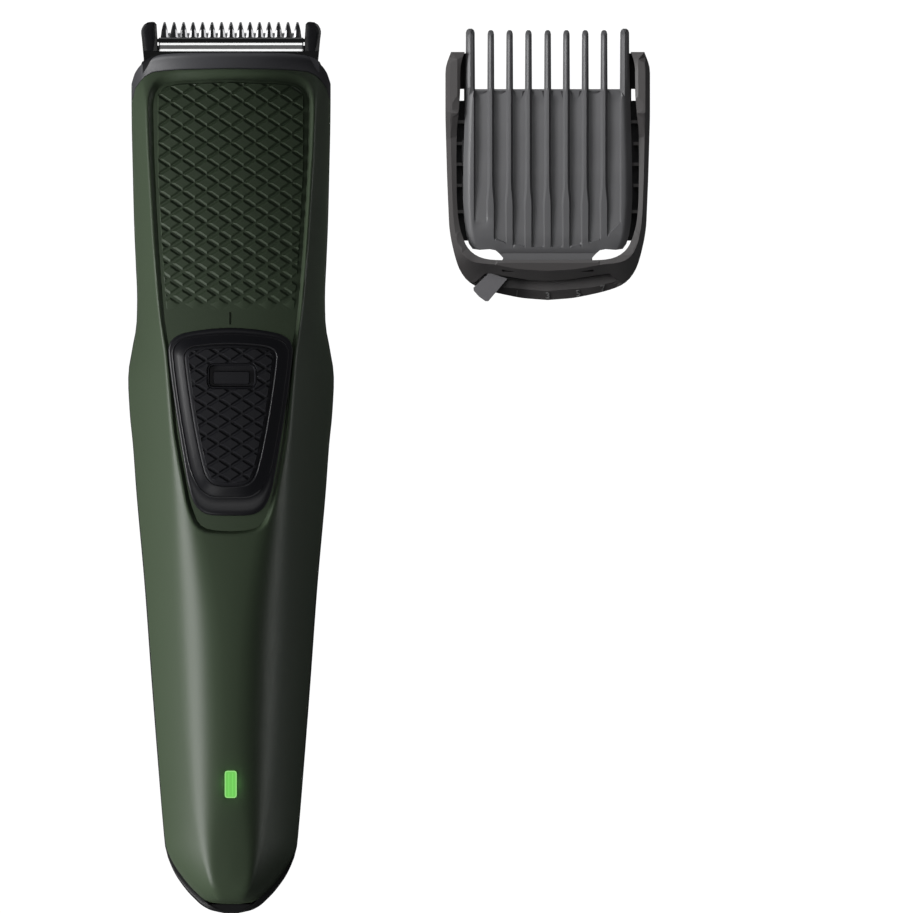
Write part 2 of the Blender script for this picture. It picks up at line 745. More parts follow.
# ------------------------------------------------------------------ diamond texture
# pitch and centre are (x, y) pairs; base and peak give, at y, the size of a diamond's foot
# and of its flat top as shares of the pitch
def diamond(x, y, pitch, centre, base, peak):
    """Height of the diamond pattern, 0 to 1."""
    u, v = (x - centre[0]) / pitch[0], (y - centre[1]) / pitch[1]
    p, q = u + v, u - v
    dp, dq = p - np.round(p), q - np.round(q)
    reach = 2 * np.maximum(np.abs(dp), np.abs(dq))
    middle = y - (dp - dq) / 2 * pitch[1]
    return np.clip((base(middle) - reach) / (base(middle) - peak(middle)), 0, 1)


def diamond_lines(region, keep, pitch, centre, base, peak):
    """The diamonds' edges over the region's bounds, cut back to where keep holds."""
    low, high = np.min(region, 0), np.max(region, 0)
    half = hx, hy = pitch[0] / 2, pitch[1] / 2
    starts, ends = [], []
    first_x, first_y = (int((low[k] - centre[k]) / half[k]) - 2 for k in (0, 1))
    last_x, last_y = (int((high[k] - centre[k]) / half[k]) + 3 for k in (0, 1))
    for j in range(first_y, last_y):
        y = centre[1] + j * pitch[1] / 2
        for i in range(first_x, last_x):
            x = centre[0] + i * pitch[0] / 2
            if (i + j) % 2 or not (low[0] - hx < x < high[0] + hx
                                   and low[1] - hy < y < high[1] + hy):
                continue
            for f in (float(base(y)), float(peak(y))):
                fx, fy = f * pitch[0] / 2, f * pitch[1] / 2
                corners = [(x - fx, y), (x, y - fy), (x + fx, y), (x, y + fy)]
                starts += corners
                ends += corners[1:] + corners[:1]
    starts, ends = np.array(starts, float), np.array(ends, float)
    start_in, end_in = keep(starts), keep(ends)
    some = start_in | end_in
    starts, ends, start_in, end_in = starts[some], ends[some], start_in[some], end_in[some]
    swap = ~start_in
    starts[swap], ends[swap] = ends[swap], starts[swap]
    both = start_in & end_in
    reach, limit = np.where(both, 1.0, 0.0), np.ones(len(starts))
    for _ in range(9):
        t = (reach + limit) / 2
        good = keep(starts + (ends - starts) * t[:, None]) | both
        reach, limit = np.where(good, t, reach), np.where(good, limit, t)
    reach[both] = 1.0
    return [[a, a + (b - a) * t] for a, b, t in zip(starts, ends, reach) if t > 0.08]


# ------------------------------------------------------------------ grip panel
DIAMOND_SLOPE = 0.12  # width over which a pattern fades in at its border
PATTERN_Y = (27.9, 68.75)  # ends of the panel's pattern


def grip_panel():
    def base(y):
        return 0.97 - 0.17 * (1 - ease(27, 60, y))

    height = 0.38
    pattern = dict(pitch=(4.35, 2.88), centre=(0.1, 47.82), base=base,
                   peak=lambda y: base(y) - 0.3)
    outline = inset(FLOOR, 0.05)
    near = inset(outline, 0.5)
    floor_x, floor_y = recess[recess[:, 3] < 66, 2:].T
    ys = np.linspace(PATTERN_Y[1], PATTERN_Y[0], 40)
    side = np.minimum(13.05, np.interp(ys, floor_y, -floor_x) - 0.55)
    region = mirrored(np.stack([-side, ys], 1))

    def keep(points):
        return inside(region, points) & inside(near, points)

    def margin(points):
        return np.minimum(distance(region, points), distance(near, points))

    def top(x, y, depth):
        points = np.stack([x, y], 1)
        fade = np.clip(margin(points) * keep(points) / DIAMOND_SLOPE, 0, 1)
        fade = fade * ease(PATTERN_Y[0], 30.2, y) * np.interp(y, [29, 40, 58], [0.6, 0.8, 1.0])
        return crown(x, y) - RECESS + height * diamond(x, y, **pattern) * fade - depth

    lines = diamond_lines(region, lambda p: keep(p) & (margin(p) > 0.125), **pattern)
    inner = inset(outline, 0.3)
    for gap in (0.0, 0.125):
        lines += runs(resample(inset(region, gap), 1.0), lambda p: inside(inner, p))
    inner_region = inset(region, 0.13)
    for gap in (0.5, 0.625):
        lines += runs(resample(inset(outline, gap), 0.9), lambda p: inside(inner_region, p))
    # an opening under the switch, and a short groove on the centre line above it
    opening = resample(rectangle(-2.4, 2.4, 3.5, 11.5), 0.8)
    groove = rectangle(-0.1, 0.1, 25.45, 27.5)
    loops = [resample(inset(groove, -0.1), 0.7), with_depth(resample(groove, 0.7), 0.4)]
    grid = grid_points(np.arange(-13.5, 13.6, 2.25), np.arange(-10.5, 69, 1.5))
    x, y = grid.T
    free = inside(inset(outline, 0.4), grid) & clear_of(opening, grid, 0.3)
    free &= (y < 27) | ~keep(grid)
    free &= ~((np.abs(x) < 0.5) & (y > 25) & (y < 28))
    solid = slab(outline, top, lambda x, y, depth: crown(x, y) - RECESS - 1.6,
                 holes=[opening], loops=loops, lines=lines, points=grid[free])
    make("grip_panel_skin", solid, "handle", "green_panel", angle=18)


# ------------------------------------------------------------------ switch
# left halves of the button's outlines, top to bottom: foot, crest around the pad, and pad
FOOT_HALF = [
    (0, 24.8), (-5, 24.45), (-9.2, 23.55), (-10.6, 22.5), (-11.1, 21.2), (-11.05, 19.5),
    (-9.9, 10.5), (-8.6, 2.4), (-7.7, -2.83), (-7.0, -5.4), (-5.9, -7.4), (-4.2, -8.5),
    (0, -8.78),
]
CREST_HALF = [
    (0, 23.68), (-4.8, 23.35), (-8.4, 22.75), (-9.7, 21.9), (-10.3, 20.7), (-10.25, 19.2),
    (-9.1, 10.3), (-7.95, 3.4), (-7.2, -0.3), (-6.3, -2.6), (-5.2, -4.3), (-3.4, -5.35),
    (0, -5.5),
]
PAD_HALF = [
    (0, 22.05), (-4.5, 21.8), (-6.9, 21.4), (-7.9, 20.8), (-8.35, 19.8), (-8.3, 18.6),
    (-7.2, 10.4), (-6.1, 4.2), (-5.3, 0.6), (-4.7, -1.4), (-4.0, -2.6), (-2.8, -3.4),
    (0, -3.73),
]
# share of the way between two outlines, height above the crowned front
FOOT_TO_CREST = [
    (0, -0.6), (0, -0.15), (0.04, 0.06), (0.14, 0.2), (0.32, 0.31), (0.6, 0.38), (0.88, 0.42),
    (0.95, 0.5),
]
CREST_TO_PAD = [
    (0.0, 0.56), (0.02, 0.54), (0.055, 0.44), (0.1, 0.46), (0.5, 0.9), (0.9, 1.32),
    (0.97, 1.38), (1.0, 1.4),
]
PAD_TO_WELL = [(0.5, 1.38), (1.75, 1.08), (1.75, 0.28)]
# outlines of a sunk window in the pad and of the raised block inside it
WINDOW = [
    (-3.83, 15.0), (-3.6, 14.47), (-3.05, 14.24), (3.55, 14.24), (4.1, 14.47), (4.33, 15.0),
    (4.33, 17.3), (4.1, 17.86), (3.55, 18.09), (-3.05, 18.09), (-3.6, 17.86), (-3.83, 17.3),
]
BLOCK = [
    (-3.08, 14.95), (-2.8, 14.67), (3.15, 14.67), (3.45, 14.95), (3.45, 16.8), (3.15, 17.05),
    (-2.8, 17.05), (-3.08, 16.8),
]
FOOT, CREST, PAD = (mirrored(spline(h), 1, -1) for h in (FOOT_HALF, CREST_HALF, PAD_HALF))


def switch_button():
    rings = []
    for start, end, stations in ((FOOT, CREST, FOOT_TO_CREST), (CREST, PAD, CREST_TO_PAD),
                                 (PAD, inset(PAD, 0.12), PAD_TO_WELL)):
        for t, height in stations:
            ring = start * (1 - t) + end * t
            rings.append(np.c_[ring, crown(ring[:, 0], ring[:, 1]) + height])
    make("switch_button_skin", loft(rings), "power_switch", "switch_black", angle=50)


def switch_pad():
    height, sink, lip_width, slope = 0.26, 0.5, 0.3, 0.14
    pattern = dict(pitch=(4.24, 2.69), centre=(0.05, -1.36), base=lambda y: 0.9,
                   peak=lambda y: 0.66)
    outline = inset(PAD, 0.23)
    region = inset(outline, 0.55)

    def keep(points):
        return inside(region, points) & clear_of(WINDOW, points, lip_width)

    def relief(x, y):
        """Diamonds, a lip around the window, the window's floor and the block in it."""
        points = np.stack([x, y], 1)
        from_window = distance(WINDOW, points)
        margin = np.minimum(distance(region, points), from_window - lip_width) * keep(points)
        h = height * diamond(x, y, **pattern) * np.clip(margin / DIAMOND_SLOPE, 0, 1)
        in_window = inside(WINDOW, points)
        h = np.where(in_window, -sink * np.clip(from_window / slope, 0, 1), h)
        lip = (0.16 * np.clip((lip_width - from_window) / 0.12, 0, 1)
               * np.clip(from_window / 0.08 + 0.3, 0, 1))
        h = np.where(~in_window & (from_window < lip_width), lip, h)
        block = -sink + 0.47 * np.clip(distance(BLOCK, points) / slope, 0, 1)
        return np.where(inside(BLOCK, points), block, h)

    def top(x, y, depth):
        e = np.clip(distance(outline, np.stack([x, y], 1)) / 0.4, 0, 1)
        return crown(x, y) + 1.02 - 0.22 * (1 - e) ** 2 + relief(x, y)

    def apart(points):
        return (keep(points) & (distance(region, points) > 0.125)
                & (distance(WINDOW, points) > 0.43))

    lines = diamond_lines(region, apart, **pattern)
    loops = [inset(outline, 0.18), inset(outline, 0.4), region, inset(region, 0.12),
             WINDOW, inset(WINDOW, slope), BLOCK, inset(BLOCK, slope)]
    loops += [inset(WINDOW, -gap) for gap in (0.09, 0.18, lip_width, 0.42)]
    solid = slab(outline, top, lambda x, y, depth: crown(x, y) + 0.3,
                 loops=[resample(loop, 1.2) for loop in loops], lines=lines)
    make("switch_pad_skin", solid, "power_switch", "switch_pad_black", angle=18)


# ------------------------------------------------------------------ rear shell
SCREWS = [(-13.9, 52), (13.9, 52), (-7, -70.2), (7, -70.2)]


def rear_rows(y, stations):
    """The outer row, with its edge rounded at the parting, and the inner row."""
    outer = rear_point(stations, y)
    width = outer[-1, 0]
    r = min(0.25 + 1.15 * (1 - float(ease(-79.2, -71, y))), 0.5 * width)

    def edge(side):
        return np.array([[side * width, y, PARTING_Z - r],
                         [side * (width - 0.3 * r), y, PARTING_Z - 0.3 * r],
                         [side * (width - r), y, PARTING_Z]])

    left, right = edge(-1), edge(1)
    outer[0], outer[-1] = left[0], right[0]
    near = np.abs(outer[:, 2] - PARTING_Z) < r
    outer[near, 2] = np.minimum(outer[near, 2], PARTING_Z - r)
    inner = rear_point(stations, min(inner_y(y), REAR_END), WALL)
    inner[0, 2] = inner[-1, 2] = PARTING_Z
    return np.vstack([left[:0:-1], outer, right[1:]]), inner


def rear_shell():
    ys = np.concatenate([[-80, -79.9, -79.75, -79.55], np.arange(-79.3, -70, 0.45),
                         np.arange(-70, 66, 2.0), [REAR_END]])
    stations = np.concatenate([np.linspace(-1, -0.5, 16), np.linspace(-0.4, 0.4, 5),
                               np.linspace(0.5, 1, 16)])
    outer, inner = zip(*(rear_rows(y, stations) for y in ys))
    n, m, count = len(outer[0]), len(inner[0]), len(ys)

    def out(j, i):
        return j * n + i

    def inn(j, i):
        return count * n + j * m + i

    faces = []
    for j in range(count - 1):
        k = j + 1
        faces += [[out(j, i), out(j, i + 1), out(k, i + 1), out(k, i)] for i in range(n - 1)]
        faces += [[inn(j, i + 1), inn(j, i), inn(k, i), inn(k, i + 1)] for i in range(m - 1)]
        faces.append([inn(j, 0), out(j, 0), out(k, 0), inn(k, 0)])
        faces.append([out(j, n - 1), inn(j, m - 1), inn(k, m - 1), out(k, n - 1)])
    faces.append(list(range(n))[::-1])
    faces.append([inn(0, i) for i in range(m)])
    faces.append([0, inn(0, 0), inn(0, m - 1), n - 1])
    # end wall at the collar; the outer row has two more points at each side
    e = count - 1
    faces += [[out(e, i), out(e, i + 1), inn(e, 0)] for i in (0, 1)]
    faces += [[out(e, i + 2), out(e, i + 3), inn(e, i + 1), inn(e, i)] for i in range(m - 1)]
    faces += [[out(e, i), out(e, i + 1), inn(e, m - 1)] for i in (m + 1, m + 2)]
    # the socket opening at the lower end and the stepped screw holes
    cuts = [box(-3.3, 3.3, -86, -74.5, 6.1, 9.9)]
    for x, y in SCREWS:
        cuts += [cylinder(x, y, 2.3, -3, 5.5), cylinder(x, y, 1.15, 4, 9)]
    make("rear_shell_skin", (np.vstack(outer + inner), faces), "handle", "black_body",
         angle=34, cuts=cuts)


# ------------------------------------------------------------------ collar
def collar():
    front_s = np.concatenate([
        np.linspace(28.2, 16.6, 14)[:-1], np.linspace(16.6, 13.8, 9)[:-1],
        np.linspace(13.8, -13.8, 27)[:-1], np.linspace(-13.8, -16.6, 9)[:-1],
        np.linspace(-16.6, -28.2, 14)])
    rear_t = np.concatenate([np.linspace(-1, -0.5, 14)[1:], np.linspace(-0.45, 0.45, 15),
                             np.linspace(0.5, 1, 14)[:-1]])
    n = len(front_s)
    front_x = front_point(front_s, np.full(n, 70.0), 0, True)[:, 0]
    rear_x = rear_point(rear_t, np.full(len(rear_t), 70.0))[:, 0]
    start = np.concatenate([seam_y(front_x) + 0.03, np.full(len(rear_x), REAR_END + 0.04)])
    end = mouth_y(np.concatenate([front_x, rear_x]))

    def outer_ring(y, depth=0.0):
        ring = np.vstack([front_point(front_s, y[:n], 0, True), rear_point(rear_t, y[n:])])
        along = np.roll(ring, -1, 0) - np.roll(ring, 1, 0)
        normal = np.stack([-along[:, 2], 0 * along[:, 0], along[:, 0]], 1)
        normal /= np.maximum(np.linalg.norm(normal, axis=1, keepdims=True), 1e-9)
        out = np.sign(((ring - [0, 0, PARTING_Z]) * [1, 0, 1] * normal).sum(1))
        return ring - normal * out[:, None] * depth

    radius = 0.75  # of the mouth's edge
    rings = [outer_ring(start, 1.5), outer_ring(start, 0.06), outer_ring(start + 0.06, 0.02),
             outer_ring(start + 0.16)]
    base = rings[-1]
    for t in (0.12, 0.3, 0.5, 0.7, 0.85, 1.0):
        rings.append(outer_ring(start * (1 - t) + (end - radius) * t))
    for a in map(math.radians, (25, 45, 65, 90)):
        rings.append(outer_ring(end - radius + radius * math.sin(a),
                                radius * (1 - math.cos(a))))

    def bore_ring(half_x, z0, z1, y=None, below_mouth=0.0):
        """The base ring projected from the axis onto a rectangle."""
        ring = []
        for dx, _, z in base:
            dz = z - PARTING_Z
            dz = dz if abs(dz) > 1e-9 else 1e-9
            room = z1 - PARTING_Z if dz > 0 else PARTING_Z - z0
            k = min(half_x / max(abs(dx), 1e-9), room / abs(dz))
            ring.append([dx * k, 0, PARTING_Z + dz * k])
        ring = np.array(ring)
        for x, z in ((half_x, z1), (-half_x, z1), (-half_x, z0), (half_x, z0)):
            i = np.argmin((ring[:, 0] - x) ** 2 + (ring[:, 2] - z) ** 2)
            ring[i, 0], ring[i, 2] = x, z
        ring[:, 1] = mouth_y(ring[:, 0]) - below_mouth if y is None else y
        return ring

    rings += [
        bore_ring(15.9, 6.2, 17.8, below_mouth=0.02),
        bore_ring(15.8, 6.3, 17.7, below_mouth=0.25),
        bore_ring(15.8, 6.3, 17.7, y=70.3),
        bore_ring(12.35, 6.4, 16.8, y=70.3),
        bore_ring(12.35, 6.4, 16.8, y=66.6),
    ]
    fix_normals(make("head_collar_skin", loft(rings, wrap=True), "handle", "collar_grey",
                     angle=40))


# ------------------------------------------------------------------ charging light
LED_Y = -56.8
LENS = [
    (-1.08, -58.7), (-1.0, -59.05), (-0.7, -59.23), (0.7, -59.23), (1.0, -59.05), (1.08, -58.7),
    (1.08, -54.9), (1.0, -54.54), (0.7, -54.36), (-0.7, -54.36), (-1.0, -54.54), (-1.08, -54.9),
]


def led():
    """The lens, with two grooves along it, and its pale edge."""
    outline = resample(LENS, 0.4)
    rings = rounded(outline, 0.22)
    groove_x, half_groove = 0.34, 0.07
    grooves = [column(x, np.arange(-58.7, -54.8, 0.4))
               for x in (-0.42, -0.34, -0.26, 0.26, 0.34, 0.42)]

    def top(x, y, depth):
        groove = np.clip(1 - np.abs(np.abs(x) - groove_x) / half_groove, 0, 1)
        groove = groove * (np.abs(y - LED_Y) < 2.05)
        return crown(x, y) + 0.06 - depth - 0.3 * groove

    solid = slab(rings[0], top, lambda x, y, depth: crown(x, y) - 1.5,
                 loops=rings[1:], lines=grooves)
    make("led_lens_skin", solid, "handle", "led_green", angle=30)
    solid = slab(outline, lambda x, y, depth: crown(x, y) + 0.085,
                 lambda x, y, depth: crown(x, y) - 0.4, holes=[inset(outline, 0.2)])
    make("led_rim", solid, "handle", "led_rim", angle=30)


# ------------------------------------------------------------------ cutting head
EAR = [
    (13.2, 73), (13.2, 76.6), (13.35, 79.1), (13.6, 79.5), (14.1, 79.65), (14.9, 79.55),
    (15.6, 79.1), (16.0, 78.4), (16.1, 77.6), (15.95, 76.5), (15.62, 73),
]
TOOTH_PITCH, TOOTH_COUNT = 1.7, 15
TOOTH_Y = [76.8, 77.3, 78.0, 78.7, 79.25, 79.6]
TOOTH_HALF = [0.72, 0.64, 0.56, 0.4, 0.27, 0.14]  # half widths at TOOTH_Y
# y, z of the clamp bar's section: a flat between two sloped edges
CLAMP = [
    (74.05, 11.95), (75.88, 11.95), (75.88, 12.76), (75.84, 12.83), (75.44, 13.13),
    (75.38, 13.15), (74.8, 13.16), (74.74, 13.18), (74.34, 13.48), (74.26, 13.5), (74.05, 13.5),
]


def head_ears():
    ys = [73, 73.9, 77, 79.1, 79.7]
    parts = []
    for side in (-1, 1):
        rings = rounded(ccw(resample(ccw(EAR), 0.45) * [side, 1]), 0.95, 6)
        parts.append(slab(
            rings[0],
            lambda x, y, depth: np.interp(y, ys, [17.3, 17.3, 14.9, 13.2, 12.6]) - depth * 1.3,
            lambda x, y, depth: np.interp(y, ys, [6.9, 6.9, 8.2, 9.6, 10.6]),
            loops=rings[1:]))
    make("head_ears", join(parts), "cutting_head", "head_black", angle=55)


def guard_teeth():
    """The fixed teeth: flat tops with bevelled sides."""
    half_x, root_y = 12.95, TOOTH_Y[0]
    centres = np.array([(TOOTH_COUNT // 2 - k) * TOOTH_PITCH for k in range(TOOTH_COUNT)])
    stations = list(zip(TOOTH_Y, TOOTH_HALF))
    outline = [(-half_x, 74.9), (half_x, 74.9), (half_x, root_y)]
    lines = []
    for c in centres:
        outline += [(c + h, y) for y, h in stations] + [(c - h, y) for y, h in stations[::-1]]
        for share in (-0.45, 0.0, 0.45):
            lines.append([(c + share * np.interp(y, TOOTH_Y, TOOTH_HALF), y)
                          for y in (76.9, 77.3, 78.0, 78.7, 79.2, 79.45)])
    outline.append((-half_x, root_y))
    lines += [row((-12.9, 12.9), y) for y in (76.5, 76.78)]

    def top(x, y, depth):
        e = np.abs(x[:, None] - centres[None]).min(1)
        half = np.interp(y, [76.3] + TOOTH_Y, [0.85] + TOOTH_HALF)
        bevel = np.clip((half - e) / (0.5 * half), 0, 1)
        tooth = np.clip((y - 76.5) / 0.35, 0, 1)
        groove = 0.05 * np.clip(1 - e / 0.1, 0, 1) * tooth
        rise = 0.26 * bevel * tooth * np.interp(y, [77, 79.2, 79.6], [1, 0.9, 0.4])
        return np.interp(y, [76.8, 79.6], [12.12, 11.84]) - 0.26 + rise - groove

    solid = slab(outline, top, lambda x, y, depth: np.interp(y, [77.5, 79.6], [11.0, 11.15]),
                 lines=lines)
    make("guard_teeth", solid, "cutting_head", "tooth_steel", angle=20)


def cutter_tips():
    """The moving teeth, one in each gap of the guard, sloped down towards their tips."""
    half = np.array([(-0.24, 77.75), (-0.42, 77.2), (-0.5, 76.3)])
    parts = []
    for k in range(TOOTH_COUNT - 1):
        c = (6.5 - k) * TOOTH_PITCH
        outline = [(c + x, y) for x, y in np.roll(mirrored(half), -2, 0)]
        parts.append(slab(
            outline,
            lambda x, y, depth: np.interp(y, [76.3, 76.9, 77.75], [10.96, 10.96, 10.5]),
            10.36, lines=[row((c - 0.4, c + 0.4), 76.9)]))
    make("cutter_tips", join(parts), "cutter", "plated_steel", angle=20)


def blade_clamp():
    centre, shrink = [0, 75.0, 12.7], [1, 0.86, 0.86]
    rings = [np.array([(x, y, z) for y, z in CLAMP]) for x in (-12.9, -12.75, 12.75, 12.9)]
    for i in (0, 3):
        rings[i] = (rings[i] - centre) * shrink + centre
    fix_normals(make("blade_clamp_skin", loft(rings), "cutting_head", "plated_steel", angle=16))


# ------------------------------------------------------------------ comb frame
# the comb is drawn around x = 0 and moved to COMB_X
COMB_X, PIVOT_Y = 56.7, 44.14
# left halves, top to bottom: outer side, inner side, and crest where the flat turns into a slope
FRAME_OUTER = [
    (-17.31, 74.26), (-18.33, 71.63), (-18.33, 62.39), (-18.03, 51.65), (-17.67, 43.06),
    (-17.31, 40.63), (-16.68, 37.87), (-15.93, 35.49), (-14.75, 33.6), (-13.19, 32.41),
    (-11.1, 31.65), (-8.9, 31.07), (-4.64, 30.2), (0, 29.85),
]
FRAME_INNER = [
    (-14.9, 74.26), (-15.45, 72.7), (-15.65, 71.5), (-15.7, 66.5), (-15.85, 65), (-15.95, 63),
    (-16.3, 60.8), (-16.36, 55), (-16.3, 48), (-16.1, 45), (-15.8, 43.0), (-15.4, 41.6),
    (-14.75, 39.8), (-13.8, 38.5), (-12.3, 37.5), (-10.4, 37.05), (-8.23, 36.98), (0, 36.98),
]
FRAME_CREST = [
    (-17.1, 74.0), (-17.5, 71.5), (-17.45, 62.3), (-17.2, 51.6), (-16.95, 45.0), (-16.6, 41.8),
    (-15.9, 39.2), (-14.9, 37.3), (-12.9, 36.45), (-10.2, 36.3), (-7.6, 35.8), (-5.04, 35.35),
    (0, 35.05),
]
LEDGE_Z, BAND_SLOPE = 1.7, 0.85  # the low ledge, and the sloped band of digits below it
RUNG_YS = (61.8, 57.9, 54.2, 50.4, 45.7)
DIGITS = [(-5.5, "1"), (0.0, "3"), (5.5, "5"), (9.9, "7")]  # x, text


def at_comb(solid):
    verts, faces = solid
    return np.asarray(verts, float) + [COMB_X, 0, 0], faces


def around_pivot(radius, degrees):
    a = math.radians(degrees)
    return radius * math.cos(a), PIVOT_Y + radius * math.sin(a)


def comb_frame():
    outer, inner, crest = (
        soften(resample(half, 1.2, closed=False), times)
        for half, times in ((FRAME_OUTER, 1), (FRAME_INNER, 1), (FRAME_CREST, 2)))
    inner_right = inner * [-1, 1]
    outline = np.vstack([mirrored(outer, 0, -1), inner_right[:-1], inner[::-1]])
    crest = mirrored(crest, 0, -1)
    beyond_crest = np.vstack([crest, [(40, 90), (40, 0), (-40, 0), (-40, 90)]])
    # the ledge is cut into the lower bow, below this edge
    ledge = [(x, np.interp(abs(x), [0, 3.5, 7.0, 9, 11.1], [33.3, 33.48, 34.03, 34.35, 34.62]))
             for x in np.linspace(-11.0, 11.0, 36)]
    zone = ccw([around_pivot(14.7, 220.5), *ledge, around_pivot(14.7, 319.5),
                around_pivot(26, 319.5), (0, 10), around_pivot(26, 220.5)])
    band = np.array([(x, np.interp(x, [-12.5, -8.2, 0, 8.2, 12.5],
                                   [33.3, 32.15, 31.45, 32.15, 33.3]))
                     for x in np.linspace(-12.5, 12.5, 40)])
    below_band = np.vstack([band, [(14, 20), (-14, 20)]])

    def top(x, y, depth):
        p = np.stack([x, y], 1)
        flat = np.interp(y, [38.0, 46.0, 59.0, 63.3], [8.0, 7.6, 6.9, 9.0])
        flat = flat - 0.26 * np.clip(37.4 - y, 0, 3) + 0.25
        e = distance(crest, p, closed=False) * inside(beyond_crest, p)
        z = flat - e * np.interp(y, [31, 38, 44, 60], [1.3, 1.25, 1.15, 1.2])
        # small rounding of the inner edge
        e = np.minimum(distance(inner, p, closed=False), distance(inner_right, p, closed=False))
        z = z - 0.25 * np.clip(1 - e / 0.25, 0, 1) ** 2
        z = np.maximum(z, 2.6)
        low = LEDGE_Z - BAND_SLOPE * distance(band, p, closed=False) * inside(below_band, p)
        k = np.where(inside(zone, p), np.clip(distance(zone, p) / 0.06, 0, 1), 0)
        return z * (1 - k) + np.maximum(low, 0.3) * k

    margin = inset(outline, 0.12)
    lines = [crest[2:-2]]
    for edge in (zone, inset(zone, 0.06)):
        lines += runs(resample(edge, 0.8), lambda p: inside(margin, p))
    lines += runs(band, lambda p: inside(margin, p) & inside(zone, p))
    for y, x in ((59.0, 16.35), (63.3, 16.1)):
        lines += [row((side * x, side * 17.2), y) for side in (-1, 1)]
    grid = grid_points(np.arange(-18, 18.1, 0.9), np.arange(30, 74, 1.3))
    free = (inside(inset(outline, 0.45), grid) & (distance(crest, grid, False) > 0.3)
            & (distance(zone, grid) > 0.25) & (distance(band, grid, False) > 0.25))
    solid = at_comb(slab(outline, top, 0.0, lines=lines, points=grid[free]))
    # slots in the arms and the bow for the plate, and a curved slot for the lever
    cuts = [at_comb(side_box(side, 14, 16.62, 43, 71, 4.7, 6.9)) for side in (-1, 1)]
    cuts.append(at_comb(box(-8.2, 8.2, 34.9, 39, 4.7, 6.9)))
    cuts.append(at_comb(box(-10.6, 10.6, 33.5, 37.6, 1.75, 3.75)))
    arc = [around_pivot(12.4, a) for a in np.linspace(220.4, 319.6, 30)]
    arc += [around_pivot(26, a) for a in np.linspace(319.6, 220.4, 12)]
    cuts.append(slab(ccw(arc) + [COMB_X, 0], 3.7, 1.72))
    make("comb_frame_skin", solid, "comb", "comb_frame_grey", angle=11, cuts=cuts)


def comb_web():
    """The thin web around the lever's pivot."""
    outline = np.array([(-8, 36.3), (8, 36.3), (8, 41), (4.5, 45.5), (3, 48), (-3, 48),
                        (-4.5, 45.5), (-8, 41)]) + [COMB_X, 0]
    make("comb_web", slab(outline, 1.6, 0.02, holes=[circle(COMB_X, PIVOT_Y, 1.55, 24)]),
         "comb", "comb_frame_grey")


def comb_rails():
    """Lower flanges inside the arms, in shade, with the rack rungs of the length setting."""
    flanges, rungs = [], []
    for side in (-1, 1):
        flanges.append(side_box(side, 13.6, 16.6, 40.5, 65.6, 0.5, 1.5))
        flanges.append(side_box(side, 13.9, 16.0, 67.7, 74.1, 0.5, 1.5))
        flanges.append(side_box(side, 13.6, 15.0, 65.5, 67.8, 0.5, 1.5))
        rungs += [side_box(side, 14.2, 16.55, y - 0.28, y + 0.28, 1.45, 4.3) for y in RUNG_YS]
    make("comb_flange", at_comb(join(flanges)), "comb", "shade_black",
         smooth=False)
    make("comb_rack", at_comb(join(rungs)), "comb", "comb_frame_grey", smooth=False)


def rim_digits():
    """Setting numbers on the sloped band of the bow."""
    for k, (x, text) in enumerate(DIGITS):
        font = bpy.data.curves.new("digit", "FONT")
        font.body, font.size, font.extrude = text, 0.002, 0.00014
        font.align_x, font.align_y = "CENTER", "CENTER"
        source = add_object("digit", font)
        data = evaluated_mesh(source)
        bpy.data.objects.remove(source)
        y = float(np.interp(abs(x), [0, 5.5, 9.9], [30.65, 31.0, 31.95]))
        band_y = float(np.interp(abs(x), [0, 5.5, 9.9], [31.45, 31.8, 32.6]))
        z = LEDGE_Z - BAND_SLOPE * (band_y - y) + 0.02
        turn = math.radians(float(np.interp(x, [-10, 10], [-12, 12])))
        data.transform(Matrix.Translation(((COMB_X + x) * MM, y * MM, z * MM))
                       @ Matrix.Rotation(turn, 4, "Z")
                       @ Matrix.Rotation(math.radians(40), 4, "X"))
        dress(add_object("rim_digit_%d" % (k + 1), data), "comb", "digit_grey")


# ------------------------------------------------------------------ comb plate
TINES = np.array([-13.87, -10.19, -6.82, -3.44, 0, 3.35, 6.73, 10.1, 13.8])  # x
TINE_HALF, OUTER_TINE_HALF = 0.62, 0.85
LAST = len(TINES) - 1
# for each gap between tines: y of the valley's lower end and that end's slant
VALLEY_END = np.array([44.5, 40.4, 39.6, 39.25, 39.25, 39.6, 40.4, 42.6])
VALLEY_SLANT = np.array([0.0, -0.35, -0.12, 0, 0, 0.12, 0.35, 1.0])
ROOT_X, ROOT_Y = 14.72, 67.62  # the plate's upper corner, where the tines leave it
VALLEY_TOP = 67.3
# left side of the plate below its upper corner, top to bottom
PLATE_LEFT = np.array([
    (-14.95, 60), (-15.12, 54.34), (-15.14, 47.54), (-14.95, 44), (-14.6, 41.6), (-14.1, 39.9),
    (-13.45, 39.0), (-12.2, 38.82), (-10.4, 38.95), (-9.35, 38.75), (-8.6, 38.1), (-7.9, 37.3),
    (-7.7, 36.6), (-7.7, 35.2),
])
EDGE_SLOPE = 1.35  # width of the sloped side edge


def plate_edge(y):
    """Half width of the plate."""
    return np.interp(y, [39.0, 39.9, 41.6, 44, 47.54, 54.34, 60, 67.62, 72, 78.5],
                     [13.5, 14.1, 14.6, 14.95, 15.14, 15.12, 14.95, 14.72, 14.7, 14.65])


def ridge_section(y, outermost):
    """Half width of a ridge's flat top and width of its slope."""
    flat = np.interp(y, [39, 47.2, 50.0, 52.5, 70], [0.52, 0.5, 0.24, 0.2, 0.2])
    slope = np.interp(y, [40, 50], [0.2, 0.42])
    return np.where(outermost, 0.62, flat), np.where(outermost, 0.3, slope)


